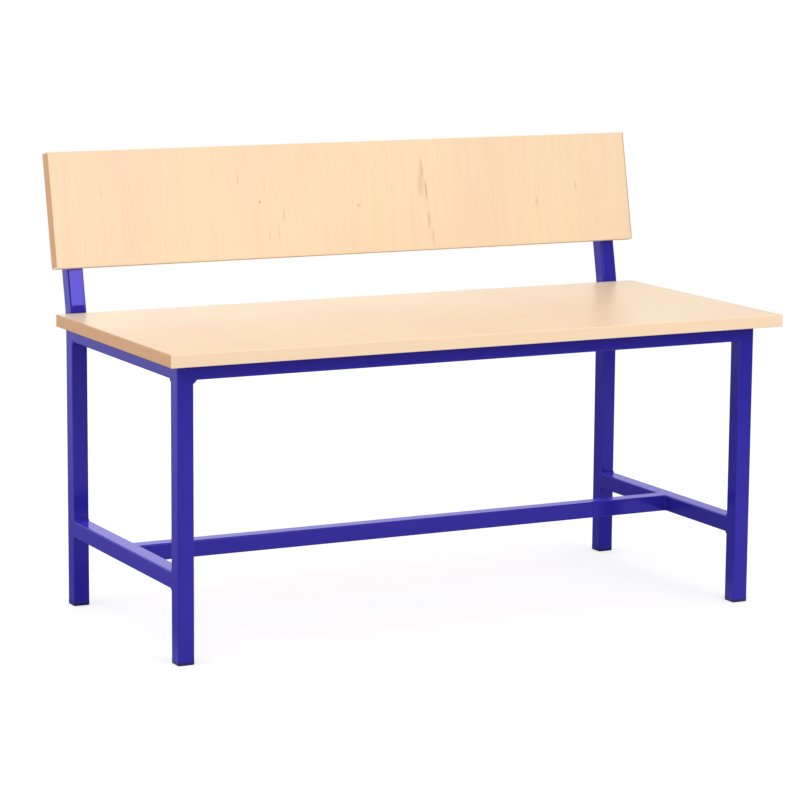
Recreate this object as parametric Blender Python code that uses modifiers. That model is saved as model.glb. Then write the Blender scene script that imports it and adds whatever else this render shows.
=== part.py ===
"""School bench with a backrest: two edge-banded boards on a welded frame of square steel tube.

Lengths are in metres. +Z is up, +X runs along the bench and +Y points to its back.
The origin lies on the floor, in the middle of the bench's outer box.
"""

import math

import bmesh
import bpy
from mathutils import Matrix, Vector

# Boards, both cut from the same faced chipboard
BOARD_LENGTH = 1.000
BOARD_THICKNESS = 0.018
SEAT_DEPTH = 0.445
SEAT_HEIGHT = 0.450              # floor to the seat's upper face
BACKREST_HEIGHT = 0.175          # measured along the leaning board
BACKREST_CLEARANCE = 0.065       # seat's upper face to the backrest's lowest edge

# Plastic bands glued round the boards
BAND_THICKNESS = 0.002
BAND_EDGE_RADIUS = 0.001

# Square tube of the frame
TUBE_WIDTH = 0.025
TUBE_WALL = 0.0015
TUBE_CORNER_RADIUS = 0.002
TUBE_INNER_RADIUS_LEAST = 0.0003

# Where the frame stands under the seat
FRAME_END_INSET = 0.025          # board's end to the legs' outer faces
FRONT_OVERHANG = 0.040           # seat's front edge to the front legs' front faces
UPRIGHT_CLEARANCE = 0.0005       # seat's back edge to the uprights' front faces
REAR_RAIL_SETBACK = 0.010        # uprights' front faces to the rear rail's back face
STRETCHER_HEIGHT = 0.132         # floor to the stretchers' upper faces

# Bend of the rear uprights
LEAN_ANGLE = math.radians(12)
BEND_RADIUS = 0.160              # to the tube's centre line
BEND_BELOW_SEAT = 0.024          # seat's upper face down to where the bend starts
BEND_SINK = 0.0012               # how far the stretched front wall sinks
BEND_BULGE = 0.0005              # how far each side wall bulges
BEND_STEPS = 8

# Ribbed plastic plugs: feet in the legs, caps in the tops of the uprights
PLUG_HEAD_HEIGHT = 0.004
PLUG_HEAD_CHAMFER = 0.0007
PLUG_STEM_LENGTH = 0.018
PLUG_STEM_WALL = 0.0015
PLUG_RIB_COUNT = 4
PLUG_RIB_HEIGHT = 0.0016
PLUG_RIB_REACH = 0.0022          # how far a rib stands out of the stem
PLUG_RIB_TAPER = 0.0006          # how much a rib narrows towards its leading side
CAP_SETBACK = 0.030              # backrest's top edge down to the caps

# Pan head chipboard screws. Those of the seat have their heads inside the rails.
SCREW_DIAMETER = 0.005
SCREW_POINT_LENGTH = 0.005
SCREW_TIP_COVER = 0.003          # board left in front of the tip
SCREW_HEAD_DIAMETER = 0.0095
SCREW_HEAD_HEIGHT = 0.0028
SCREW_HEAD_RIM = 0.0008
SCREW_RECESS_SPAN = 0.0050
SCREW_RECESS_WIDTH = 0.0011
SCREW_RECESS_DEPTH = 0.0018
SCREW_SIDES = 16
SCREW_DOME_STEPS = 3
ACCESS_HOLE_DIAMETER = 0.012     # lets a seat screw's head in through a rail's lower wall
SEAT_SCREWS_PER_RAIL = 3
SEAT_SCREW_END_DISTANCE = 0.110  # rail's end to its first screw
BACKREST_SCREWS_PER_UPRIGHT = 2
BACKREST_SCREW_LOW = 0.040       # backrest's lower edge to the first screw
BACKREST_SCREW_HIGH = 0.030      # last screw to the upright's top end

# Weld beads in the frame's inner corners
WELD_LEG = 0.005
WELD_CROWN = 0.0006
WELD_SETBACK = 0.0005            # side of the tube to the end of a bead across it
WELD_STEPS = 6
FULL_BEAD_SHARE = 1.0
LIGHT_BEAD_SHARE = 0.6
# Places along a bead, and its size there
WELD_STATION_SHARES = ((-1, 0.9), (-0.85, 1), (0.85, 1), (1, 0.9))

# Fits and facets shared by all pieces
GAP = 0.0003                     # between touching pieces
OVERRUN = 0.002                  # how far a cutter passes the face that it cuts
CORNER_STEPS = 4                 # facets in a rounded corner of a tube or a band
PLUG_CORNER_STEPS = 2
WALL_STEPS = 6                   # strips across each wall of a bent tube
MERGE_DISTANCE = 0.00001
SMOOTH_ANGLE = math.radians(35)

# Levels along Z
RAIL_TOP = SEAT_HEIGHT - BOARD_THICKNESS - GAP
RAIL_LEVEL = RAIL_TOP - TUBE_WIDTH / 2
RAIL_BOTTOM = RAIL_TOP - TUBE_WIDTH
TUBE_FOOT = PLUG_HEAD_HEIGHT + GAP
STRETCHER_LEVEL = STRETCHER_HEIGHT - TUBE_WIDTH / 2
STRETCHER_BOTTOM = STRETCHER_HEIGHT - TUBE_WIDTH
BEND_START = SEAT_HEIGHT - BEND_BELOW_SEAT

# The bend's upper end, and places above it measured along the leaning tube
BEND_SHIFT = BEND_RADIUS * (1 - math.cos(LEAN_ANGLE))
BEND_END = BEND_START + BEND_RADIUS * math.sin(LEAN_ANGLE)
BACKREST_STANDOFF = TUBE_WIDTH / 2 + GAP
BACKREST_FOOT_RISE = SEAT_HEIGHT + BACKREST_CLEARANCE - BEND_END - BACKREST_STANDOFF * math.sin(LEAN_ANGLE)
BACKREST_FOOT = BACKREST_FOOT_RISE / math.cos(LEAN_ANGLE)
CAP_TOP = BACKREST_FOOT + BACKREST_HEIGHT - CAP_SETBACK
UPRIGHT_TOP = CAP_TOP - PLUG_HEAD_HEIGHT - GAP

# Places along X
LEG_X = BOARD_LENGTH / 2 - FRAME_END_INSET - TUBE_WIDTH / 2
INNER_X = LEG_X - TUBE_WIDTH / 2

# Places along Y, from the seat's front edge to the rearmost edge of the caps
UPRIGHT_SETOUT = SEAT_DEPTH + UPRIGHT_CLEARANCE + TUBE_WIDTH / 2
CAP_LEAN = BEND_SHIFT + (CAP_TOP - PLUG_HEAD_CHAMFER) * math.sin(LEAN_ANGLE)
BENCH_DEPTH = UPRIGHT_SETOUT + CAP_LEAN + TUBE_WIDTH / 2 * math.cos(LEAN_ANGLE)
SEAT_FRONT_Y = -BENCH_DEPTH / 2
SEAT_Y = SEAT_FRONT_Y + SEAT_DEPTH / 2
FRONT_LEG_Y = SEAT_FRONT_Y + FRONT_OVERHANG + TUBE_WIDTH / 2
UPRIGHT_Y = SEAT_FRONT_Y + UPRIGHT_SETOUT
FRONT_LEG_BACK_Y = FRONT_LEG_Y + TUBE_WIDTH / 2
UPRIGHT_FRONT_Y = UPRIGHT_Y - TUBE_WIDTH / 2
REAR_RAIL_Y = UPRIGHT_FRONT_Y - REAR_RAIL_SETBACK - TUBE_WIDTH / 2
SIDE_Y = (FRONT_LEG_BACK_Y + UPRIGHT_FRONT_Y) / 2

# Tube lengths between the faces that they butt against
CROSS_LENGTH = 2 * (INNER_X - GAP)
SIDE_LENGTH = UPRIGHT_FRONT_Y - FRONT_LEG_BACK_Y - 2 * GAP

# A seat screw passes through its rail's upper wall, a backrest screw through the whole tube
SCREW_BITE = GAP + BOARD_THICKNESS - SCREW_TIP_COVER
SCREW_LENGTHS = {"seat": GAP + TUBE_WALL + SCREW_BITE, "backrest": GAP + TUBE_WIDTH + SCREW_BITE}
SCREW_HOLE_DIAMETER = SCREW_DIAMETER + 2 * GAP
SEAT_SCREW_PITCH = (CROSS_LENGTH - 2 * SEAT_SCREW_END_DISTANCE) / (SEAT_SCREWS_PER_RAIL - 1)
FIRST_SEAT_SCREW_X = SEAT_SCREW_END_DISTANCE - CROSS_LENGTH / 2
FIRST_BACKREST_SCREW = BACKREST_FOOT + BACKREST_SCREW_LOW
BACKREST_SCREW_SPAN = UPRIGHT_TOP - BACKREST_SCREW_HIGH - FIRST_BACKREST_SCREW
BACKREST_SCREW_PITCH = BACKREST_SCREW_SPAN / (BACKREST_SCREWS_PER_UPRIGHT - 1)

BENCH = "school_bench"
CUTTERS = "cutters"
SIDES = (("left", -1), ("right", 1))


def clear_scene():
    """Remove every object, so that the script starts from nothing."""
    for item in list(bpy.data.objects):
        bpy.data.objects.remove(item, do_unlink=True)


def add_collection(name):
    collection = bpy.data.collections.new(name)
    bpy.context.scene.collection.children.link(collection)


def linear(hex_colour):
    """Turn an sRGB hex colour into the linear colour that a shader takes."""
    channels = [int(hex_colour[start:start + 2], 16) / 255 for start in (0, 2, 4)]
    return [c / 12.92 if c <= 0.04045 else ((c + 0.055) / 1.055) ** 2.4 for c in channels] + [1]


def add_material(name, hex_colour, roughness, metallic):
    material = bpy.data.materials.new(name)
    material.use_nodes = True
    shader = material.node_tree.nodes["Principled BSDF"]
    shader.inputs["Base Color"].default_value = linear(hex_colour)
    shader.inputs["Roughness"].default_value = roughness
    shader.inputs["Metallic"].default_value = metallic
    material.diffuse_color = linear(hex_colour)
    return material


def add_object(name, data, material=None, place=None, parent=None, collection=BENCH):
    """Link an object, put it in its parent's frame and give it a material."""
    item = bpy.data.objects.new(name, data)
    bpy.data.collections[collection].objects.link(item)
    item.parent = parent
    if place is not None:
        item.matrix_basis = place
    if material is not None and not data.materials:
        data.materials.append(material)
    return item


def add_cutter(name, mesh, place=None, parent=None):
    """A hidden body that Booleans subtract."""
    cutter = add_object(name, mesh, place=place, parent=parent, collection=CUTTERS)
    cutter.hide_render = True
    cutter.display_type = "WIRE"
    return cutter


def add_cut(item, cutter):
    modifier = item.modifiers.new(cutter.name, "BOOLEAN")
    modifier.operation = "DIFFERENCE"
    modifier.solver = "EXACT"
    modifier.object = cutter


def frame_matrix(origin, x_axis, z_axis):
    """A frame at origin whose X and Z point along the two given directions."""
    x_axis = Vector(x_axis)
    z_axis = Vector(z_axis)
    rotation = Matrix((x_axis, z_axis.cross(x_axis), z_axis)).transposed()
    return Matrix.Translation(origin) @ rotation.to_4x4()


def shade_round(mesh):
    """Smooth shading that keeps the sharp corners."""
    mesh.shade_smooth()
    mesh.set_sharp_from_angle(angle=SMOOTH_ANGLE)


def finished_mesh(name, body):
    """Turn a bmesh into a mesh with its faces pointing out."""
    bmesh.ops.recalc_face_normals(body, faces=body.faces)
    mesh = bpy.data.meshes.new(name)
    body.to_mesh(mesh)
    body.free()
    return mesh


def evaluated_mesh(item):
    """Read what an object's curve and modifiers make, with its caps welded, and drop the object."""
    graph = bpy.context.evaluated_depsgraph_get()
    raw = bpy.data.meshes.new_from_object(item.evaluated_get(graph))
    name = item.name
    bpy.data.objects.remove(item, do_unlink=True)
    body = bmesh.new()
    body.from_mesh(raw)
    bpy.data.meshes.remove(raw)
    bmesh.ops.remove_doubles(body, verts=body.verts, dist=MERGE_DISTANCE)
    return finished_mesh(name, body)


def extruded_mesh(name, outlines, length):
    """Fill closed outlines, the inner ones as holes, and extrude them both ways along Z."""
    curve = bpy.data.curves.new(name, "CURVE")
    curve.dimensions = "2D"
    curve.fill_mode = "BOTH"
    curve.extrude = length / 2
    for outline in outlines:
        spline = curve.splines.new("POLY")
        spline.points.add(len(outline) - 1)
        for point, (x, y) in zip(spline.points, outline):
            point.co = (x, y, 0, 1)
        spline.use_cyclic_u = True
    return evaluated_mesh(add_object(name, curve, collection=CUTTERS))


def lofted_mesh(name, rows, looped=False):
    """Skin through rings of points: capped at both ends, or looped from the last ring to the first."""
    body = bmesh.new()
    rings = [[body.verts.new(point) for point in row] for row in rows]
    pairs = list(zip(rings, rings[1:]))
    if looped:
        pairs.append((rings[-1], rings[0]))
    else:
        body.faces.new(rings[0])
        body.faces.new(rings[-1])
    for lower, upper in pairs:
        for index in range(len(lower)):
            following = (index + 1) % len(lower)
            body.faces.new((lower[index], lower[following], upper[following], upper[index]))
    return finished_mesh(name, body)


def rounded_square(width, radius, corner_steps=CORNER_STEPS, wall_steps=1):
    """Outline of a square with rounded corners, with its straight sides cut into wall_steps."""
    outline = []
    centre = Vector((width / 2 - radius, width / 2 - radius))
    side_start = Vector((centre.x, width / 2))
    side_end = Vector((-centre.x, width / 2))
    for corner in range(4):
        turn = Matrix.Rotation(corner * math.pi / 2, 2)
        for step in range(corner_steps + 1):
            angle = step / corner_steps * math.pi / 2
            outline.append(turn @ (centre + radius * Vector((math.cos(angle), math.sin(angle)))))
        for step in range(1, wall_steps):
            outline.append(turn @ side_start.lerp(side_end, step / wall_steps))
    return outline


def tube_skins(**steps):
    """Outer and inner outline of the square tube."""
    inner_radius = max(TUBE_CORNER_RADIUS - TUBE_WALL, TUBE_INNER_RADIUS_LEAST)
    outer = rounded_square(TUBE_WIDTH, TUBE_CORNER_RADIUS, **steps)
    inner = rounded_square(TUBE_WIDTH - 2 * TUBE_WALL, inner_radius, **steps)
    return outer, inner


def add_tube(name, length, middle, direction, paint):
    """Straight hollow tube, centred on middle and running along direction."""
    mesh = extruded_mesh(name, tube_skins(), length)
    shade_round(mesh)
    across = (1, 0, 0) if direction[0] == 0 else (0, 1, 0)
    return add_object(name, mesh, paint, frame_matrix(middle, across, direction))


def box_mesh(name, size):
    """Box of the given size, centred."""
    body = bmesh.new()
    bmesh.ops.create_cube(body, size=1, matrix=Matrix.Diagonal((*size, 1)))
    return finished_mesh(name, body)


def band_mesh(name, length):
    """Edge band along its own Z, with its outer side towards +X and both outer edges rounded."""
    half_width = BAND_THICKNESS / 2
    half_height = BOARD_THICKNESS / 2
    outline = [(-half_width, half_height), (-half_width, -half_height)]
    for side in (-1, 1):
        for step in range(CORNER_STEPS + 1):
            share = step / CORNER_STEPS
            angle = side * (share if side > 0 else 1 - share) * math.pi / 2
            x = half_width - BAND_EDGE_RADIUS + BAND_EDGE_RADIUS * math.cos(angle)
            y = side * (half_height - BAND_EDGE_RADIUS) + BAND_EDGE_RADIUS * math.sin(angle)
            outline.append((x, y))
    mesh = extruded_mesh(name, [outline], length)
    shade_round(mesh)
    return mesh


def add_board(name, width, long_edges, datum, board, band, hole_rows):
    """Chipboard core with four glued bands, lying in its datum's XY plane."""
    seat_of_bands = 2 * (BAND_THICKNESS + GAP)
    short_side = width - seat_of_bands
    core_mesh = box_mesh(f"{name}_core", (BOARD_LENGTH - seat_of_bands, short_side, BOARD_THICKNESS))
    core = add_object(f"{name}_core", core_mesh, board, parent=datum)
    for hole_row in hole_rows:
        add_cut(core, hole_row)
    # The long bands cover the ends of the short ones.
    for edge, side in zip(long_edges, (-1, 1)):
        title = f"{name}_band_{edge}"
        middle = (0, side * (width - BAND_THICKNESS) / 2, 0)
        place = frame_matrix(middle, (0, side, 0), (1, 0, 0))
        add_object(title, band_mesh(title, BOARD_LENGTH), band, place, datum)
    for edge, side in SIDES:
        title = f"{name}_band_{edge}"
        middle = (side * (BOARD_LENGTH - BAND_THICKNESS) / 2, 0, 0)
        place = frame_matrix(middle, (side, 0, 0), (0, 1, 0))
        add_object(title, band_mesh(title, short_side), band, place, datum)


def add_front_legs(paint):
    """Straight legs from the feet up to the seat's underside."""
    for side, sign in SIDES:
        middle = (sign * LEG_X, FRONT_LEG_Y, (RAIL_TOP + TUBE_FOOT) / 2)
        add_tube(f"front_leg_{side}", RAIL_TOP - TUBE_FOOT, middle, (0, 0, 1), paint)


def add_top_rails(paint, hole_rows):
    """Rails under the seat. The front and rear ones are drilled for the seat's screws."""
    for end, y, hole_row in zip(("front", "rear"), (FRONT_LEG_Y, REAR_RAIL_Y), hole_rows):
        rail = add_tube(f"top_rail_{end}", CROSS_LENGTH, (0, y, RAIL_LEVEL), (1, 0, 0), paint)
        add_cut(rail, hole_row)
    for side, sign in SIDES:
        middle = (sign * LEG_X, SIDE_Y, RAIL_LEVEL)
        add_tube(f"top_rail_{side}", SIDE_LENGTH, middle, (0, 1, 0), paint)


def add_stretchers(paint):
    """An H near the floor: two side stretchers and a long one between their middles."""
    for side, sign in SIDES:
        middle = (sign * LEG_X, SIDE_Y, STRETCHER_LEVEL)
        add_tube(f"side_stretcher_{side}", SIDE_LENGTH, middle, (0, 1, 0), paint)
    add_tube("long_stretcher", CROSS_LENGTH, (0, SIDE_Y, STRETCHER_LEVEL), (1, 0, 0), paint)


def upright_stations():
    """Places up the centre line: shift back, height, lean and strength of the bend's deformation."""
    stations = [(0, TUBE_FOOT, 0, 0)]
    for step in range(BEND_STEPS + 1):
        share = step / BEND_STEPS
        lean = share * LEAN_ANGLE
        shift = BEND_RADIUS * (1 - math.cos(lean))
        height = BEND_START + BEND_RADIUS * math.sin(lean)
        stations.append((shift, height, lean, math.sin(share * math.pi)))
    top_shift = BEND_SHIFT + UPRIGHT_TOP * math.sin(LEAN_ANGLE)
    top_height = BEND_END + UPRIGHT_TOP * math.cos(LEAN_ANGLE)
    stations.append((top_shift, top_height, LEAN_ANGLE, 0))
    return stations


def bent_section(outline, half, station):
    """Put a tube outline at a station, its front wall sunk and its side walls bulged by the bend."""
    shift, height, lean, strength = station
    points = []
    for x, y in outline:
        sink = strength * max(-y / half, 0) * (1 - (x / half) ** 2) * BEND_SINK
        bulge = strength * (x / half) * (1 - (y / half) ** 2) * BEND_BULGE
        back = y + sink
        points.append((x + bulge, shift + back * math.cos(lean), height - back * math.sin(lean)))
    return points


def add_uprights(paint, hole_rows):
    """Rear legs that bend back above the seat and carry the backrest: one bent tube each."""
    outer, inner = tube_skins(wall_steps=WALL_STEPS)
    bore_half = TUBE_WIDTH / 2 - TUBE_WALL
    rows = [bent_section(outer, TUBE_WIDTH / 2, station) for station in upright_stations()]
    rows += [bent_section(inner, bore_half, station) for station in reversed(upright_stations())]
    for (side, sign), hole_row in zip(SIDES, hole_rows):
        name = f"rear_upright_{side}"
        mesh = lofted_mesh(name, rows, looped=True)
        shade_round(mesh)
        place = Matrix.Translation((sign * LEG_X, UPRIGHT_Y, 0))
        add_cut(add_object(name, mesh, paint, place), hole_row)


def plug_profile():
    """Half widths and heights: up the outside of head and ribs, then down into the hollow stem."""
    head = TUBE_WIDTH / 2
    rib = head - TUBE_WALL - GAP
    stem = rib - PLUG_RIB_REACH
    stem_top = PLUG_HEAD_HEIGHT + PLUG_STEM_LENGTH
    profile = [
        (head - PLUG_HEAD_CHAMFER, 0),
        (head, PLUG_HEAD_CHAMFER),
        (head, PLUG_HEAD_HEIGHT),
        (stem, PLUG_HEAD_HEIGHT),
    ]
    pitch = PLUG_STEM_LENGTH / (PLUG_RIB_COUNT + 1)
    for number in range(1, PLUG_RIB_COUNT + 1):
        rib_foot = PLUG_HEAD_HEIGHT + number * pitch - PLUG_RIB_HEIGHT / 2
        rib_top = rib_foot + PLUG_RIB_HEIGHT
        profile += [(stem, rib_foot), (rib, rib_foot), (rib - PLUG_RIB_TAPER, rib_top), (stem, rib_top)]
    hollow = stem - PLUG_STEM_WALL
    return profile + [(stem, stem_top), (hollow, stem_top), (hollow, PLUG_HEAD_HEIGHT)]


def add_plugs(plastic):
    """Feet in the four leg ends and caps in the two upright tops, all the same moulding."""
    rows = []
    for half, height in plug_profile():
        outline = rounded_square(2 * half, TUBE_CORNER_RADIUS, PLUG_CORNER_STEPS)
        rows.append([(x, y, height) for x, y in outline])
    mesh = lofted_mesh("ribbed_plug", rows)
    shade_round(mesh)
    lean = lean_datum()
    for side, sign in SIDES:
        for end, y in (("front", FRONT_LEG_Y), ("rear", UPRIGHT_Y)):
            place = Matrix.Translation((sign * LEG_X, y, 0))
            add_object(f"foot_{end}_{side}", mesh, plastic, place)
        place = frame_matrix((sign * LEG_X, 0, CAP_TOP), (1, 0, 0), (0, 0, -1))
        add_object(f"upright_cap_{side}", mesh, plastic, place, lean)


def cross_outline():
    """Outline of a cross recess, one arm turned into four."""
    reach = SCREW_RECESS_SPAN / 2
    half = SCREW_RECESS_WIDTH / 2
    outline = []
    for arm in range(4):
        turn = Matrix.Rotation(arm * math.pi / 2, 2)
        outline += [turn @ Vector(point) for point in ((reach, -half), (reach, half), (half, half))]
    return outline


def screw_mesh(kind):
    """Pan head screw pointing up +Z, with the bearing face of its head at Z = 0."""
    length = SCREW_LENGTHS[kind]
    shank = SCREW_DIAMETER / 2
    head = SCREW_HEAD_DIAMETER / 2
    dome = SCREW_HEAD_HEIGHT - SCREW_HEAD_RIM
    profile = [(0, length), (shank, length - SCREW_POINT_LENGTH), (shank, 0), (head, 0)]
    for step in range(SCREW_DOME_STEPS):
        angle = step / SCREW_DOME_STEPS * math.pi / 2
        profile.append((head * math.cos(angle), -SCREW_HEAD_RIM - dome * math.sin(angle)))
    profile.append((0, -SCREW_HEAD_HEIGHT))
    edges = [(index, index + 1) for index in range(len(profile) - 1)]
    outline = bpy.data.meshes.new(f"{kind}_screw")
    outline.from_pydata([(radius, 0, height) for radius, height in profile], edges, [])
    screw = add_object(f"{kind}_screw", outline, collection=CUTTERS)
    turned = screw.modifiers.new("turned", "SCREW")
    turned.steps = SCREW_SIDES
    turned.render_steps = SCREW_SIDES
    turned.use_merge_vertices = True
    turned.merge_threshold = MERGE_DISTANCE
    recess_mesh = extruded_mesh("cross_recess", [cross_outline()], SCREW_RECESS_DEPTH + OVERRUN)
    recess_level = (SCREW_RECESS_DEPTH - OVERRUN) / 2 - SCREW_HEAD_HEIGHT
    recess = add_cutter("cross_recess", recess_mesh, Matrix.Translation((0, 0, recess_level)))
    add_cut(screw, recess)
    mesh = evaluated_mesh(screw)
    bpy.data.objects.remove(recess, do_unlink=True)
    shade_round(mesh)
    return mesh


def drill_mesh(kind):
    """Rods along a screw's axis: its shank's hole, and the seat's access hole in the lower wall."""
    rods = [(SCREW_HOLE_DIAMETER, -OVERRUN, SCREW_LENGTHS[kind] + GAP)]
    if kind == "seat":
        rods.append((ACCESS_HOLE_DIAMETER, -TUBE_WIDTH, -TUBE_WIDTH / 2))
    body = bmesh.new()
    for diameter, foot, top in rods:
        middle = Matrix.Translation((0, 0, (foot + top) / 2))
        bmesh.ops.create_cone(
            body, cap_ends=True, segments=SCREW_SIDES, radius1=diameter / 2, radius2=diameter / 2,
            depth=top - foot, matrix=middle)
    return finished_mesh(f"{kind}_drill", body)


def screw_rows():
    """Kind, place's name, parent, first screw's place, count and pitch of every row of screws."""
    rows = []
    head_level = RAIL_TOP - TUBE_WALL - GAP
    for end, y in (("front", FRONT_LEG_Y), ("rear", REAR_RAIL_Y)):
        place = frame_matrix((FIRST_SEAT_SCREW_X, y, head_level), (1, 0, 0), (0, 0, 1))
        rows.append(("seat", end, None, place, SEAT_SCREWS_PER_RAIL, (SEAT_SCREW_PITCH, 0, 0)))
    for side, sign in SIDES:
        head_seat = (sign * LEG_X, TUBE_WIDTH / 2 + GAP, FIRST_BACKREST_SCREW)
        place = frame_matrix(head_seat, (1, 0, 0), (0, -1, 0))
        pitch = (0, BACKREST_SCREW_PITCH, 0)
        rows.append(("backrest", side, lean_datum(), place, BACKREST_SCREWS_PER_UPRIGHT, pitch))
    return rows


def add_screw_holes():
    """One hidden row of drills for each row of screws, through the tube and into the board."""
    drills = {kind: drill_mesh(kind) for kind in SCREW_LENGTHS}
    cutters = []
    for kind, end, parent, place, count, pitch in screw_rows():
        cutter = add_cutter(f"{kind}_screw_{end}_holes", drills[kind], place, parent)
        row = cutter.modifiers.new("row", "ARRAY")
        row.count = count
        row.use_relative_offset = False
        row.use_constant_offset = True
        row.constant_offset_displace = pitch
        cutters.append(cutter)
    return cutters


def add_screws(zinc):
    """Screws that hold the seat from below and the backrest from behind."""
    screws = {kind: screw_mesh(kind) for kind in SCREW_LENGTHS}
    for kind, end, parent, place, count, pitch in screw_rows():
        for index in range(count):
            step = Matrix.Translation(index * Vector(pitch))
            add_object(f"{kind}_screw_{end}_{index + 1}", screws[kind], zinc, place @ step, parent)


def bead_outline(leg):
    """Section of a fillet weld: a right angle against two walls and a slightly crowned face."""
    outline = [Vector((GAP, GAP))]
    outwards = Vector((1, 1)).normalized()
    for step in range(WELD_STEPS + 1):
        share = step / WELD_STEPS
        face = Vector((leg, GAP)).lerp(Vector((GAP, leg)), share)
        outline.append(face + WELD_CROWN * math.sin(share * math.pi) * outwards)
    return outline


def add_bead(name, corner, first_wall, second_wall, size_share, paint):
    """One bead across a tube's wall, in the corner between two walls, smaller at its two ends."""
    run = Vector(first_wall).cross(Vector(second_wall))
    half_run = TUBE_WIDTH / 2 - WELD_SETBACK
    rows = []
    for station_share, swell_share in WELD_STATION_SHARES:
        outline = bead_outline(WELD_LEG * size_share * swell_share)
        rows.append([(x, y, station_share * half_run) for x, y in outline])
    mesh = lofted_mesh(name, rows)
    shade_round(mesh)
    add_object(name, mesh, paint, frame_matrix(corner, first_wall, run))


def add_welds(paint):
    """Fillet beads in the inner corners. The one at the front rail's right end is ground back."""
    down = (0, 0, -1)
    up = (0, 0, 1)
    front = (0, -1, 0)
    back = (0, 1, 0)
    for side, sign in SIDES:
        inwards = (-sign, 0, 0)
        rail_share = FULL_BEAD_SHARE if side == "left" else LIGHT_BEAD_SHARE
        corner = (sign * INNER_X, FRONT_LEG_Y, RAIL_BOTTOM)
        add_bead(f"weld_front_rail_{side}", corner, inwards, down, rail_share, paint)
        for end, y, way in (("front", FRONT_LEG_BACK_Y, back), ("rear", UPRIGHT_FRONT_Y, front)):
            corner = (sign * LEG_X, y, RAIL_BOTTOM)
            add_bead(f"weld_side_rail_{side}_{end}", corner, way, down, FULL_BEAD_SHARE, paint)
            for level, z, facing in (("upper", STRETCHER_HEIGHT, up), ("lower", STRETCHER_BOTTOM, down)):
                name = f"weld_side_stretcher_{side}_{end}_{level}"
                add_bead(name, (sign * LEG_X, y, z), way, facing, LIGHT_BEAD_SHARE, paint)
        for end, sense, way in (("front", -1, front), ("back", 1, back)):
            corner = (sign * INNER_X, REAR_RAIL_Y + sense * TUBE_WIDTH / 2, RAIL_LEVEL)
            add_bead(f"weld_rear_rail_{side}_{end}", corner, inwards, way, FULL_BEAD_SHARE, paint)
            corner = (sign * INNER_X, SIDE_Y + sense * TUBE_WIDTH / 2, STRETCHER_LEVEL)
            add_bead(f"weld_long_stretcher_{side}_{end}", corner, inwards, way, LIGHT_BEAD_SHARE, paint)


def lean_datum():
    """The empty at the bend's upper end, leaning with the backrest, that its pieces hang on."""
    name = "lean_datum"
    if name in bpy.data.objects:
        return bpy.data.objects[name]
    lean = Matrix.Rotation(-LEAN_ANGLE, 4, "X")
    place = Matrix.Translation((0, UPRIGHT_Y + BEND_SHIFT, BEND_END)) @ lean
    return add_object(name, None, place=place)


def add_boards(hole_rows):
    """The seat flat on the rails, and the backrest on the front faces of the leaning uprights."""
    board = add_material("maple_faced_chipboard", "f2dfc0", 0.35, 0)
    band = add_material("maple_edge_band", "e6c9a2", 0.4, 0)
    seat_holes, backrest_holes = hole_rows[:2], hole_rows[2:]
    seat_level = SEAT_HEIGHT - BOARD_THICKNESS / 2
    seat_place = Matrix.Translation((0, SEAT_Y, seat_level))
    seat_datum = add_object("seat_datum", None, place=seat_place)
    add_board("seat", SEAT_DEPTH, ("front", "back"), seat_datum, board, band, seat_holes)
    middle = (0, -BACKREST_STANDOFF - BOARD_THICKNESS / 2, BACKREST_FOOT + BACKREST_HEIGHT / 2)
    backrest_place = frame_matrix(middle, (1, 0, 0), (0, -1, 0))
    backrest_datum = add_object("backrest_datum", None, place=backrest_place, parent=lean_datum())
    edges = ("bottom", "top")
    add_board("backrest", BACKREST_HEIGHT, edges, backrest_datum, board, band, backrest_holes)


def build_bench():
    clear_scene()
    add_collection(BENCH)
    add_collection(CUTTERS)
    paint = add_material("violet_blue_powder_coat", "3f35ad", 0.3, 0)
    plastic = add_material("dark_foot_plastic", "17162b", 0.5, 0)
    zinc = add_material("zinc_plated_steel", "b9bdc4", 0.35, 1)
    hole_rows = add_screw_holes()
    add_boards(hole_rows)
    add_front_legs(paint)
    add_uprights(paint, hole_rows[2:])
    add_top_rails(paint, hole_rows[:2])
    add_stretchers(paint)
    add_welds(paint)
    add_screws(zinc)
    add_plugs(plastic)


build_bench()
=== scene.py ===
"""Looks of a school bench: maple-faced boards on a welded, powder-coated frame of square tube.

Lengths are in metres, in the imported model's own frame. The sections follow the bench as it is put
together.
"""

import math

import bmesh
import bpy
from mathutils import Matrix, Vector


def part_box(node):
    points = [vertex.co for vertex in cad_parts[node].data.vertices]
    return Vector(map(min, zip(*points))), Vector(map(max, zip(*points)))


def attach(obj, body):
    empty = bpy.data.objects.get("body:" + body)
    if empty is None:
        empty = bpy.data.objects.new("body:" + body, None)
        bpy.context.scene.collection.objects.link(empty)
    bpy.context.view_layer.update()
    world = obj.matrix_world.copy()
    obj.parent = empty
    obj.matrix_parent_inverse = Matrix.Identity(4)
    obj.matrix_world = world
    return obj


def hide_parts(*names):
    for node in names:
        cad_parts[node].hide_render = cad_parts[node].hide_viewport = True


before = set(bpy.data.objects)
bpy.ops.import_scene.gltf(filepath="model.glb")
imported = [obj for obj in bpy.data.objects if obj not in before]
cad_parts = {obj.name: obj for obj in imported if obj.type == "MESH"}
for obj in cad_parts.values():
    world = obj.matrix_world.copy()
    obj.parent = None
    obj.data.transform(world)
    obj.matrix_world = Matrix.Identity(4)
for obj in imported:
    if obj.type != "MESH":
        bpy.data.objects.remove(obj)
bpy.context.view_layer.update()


# Welded frame
# Square precision tube of mild steel, cut square, butted and MIG welded. The outer faces are ground
# flush at every joint, so no seam is left there. The rear legs are bent cold at the seat's height.
TUBE = 0.025
WALL = 0.0015
CORNER_RADIUS = 0.0022
CORNER_FACETS = 6
BORE_RADIUS = 0.0007
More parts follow.
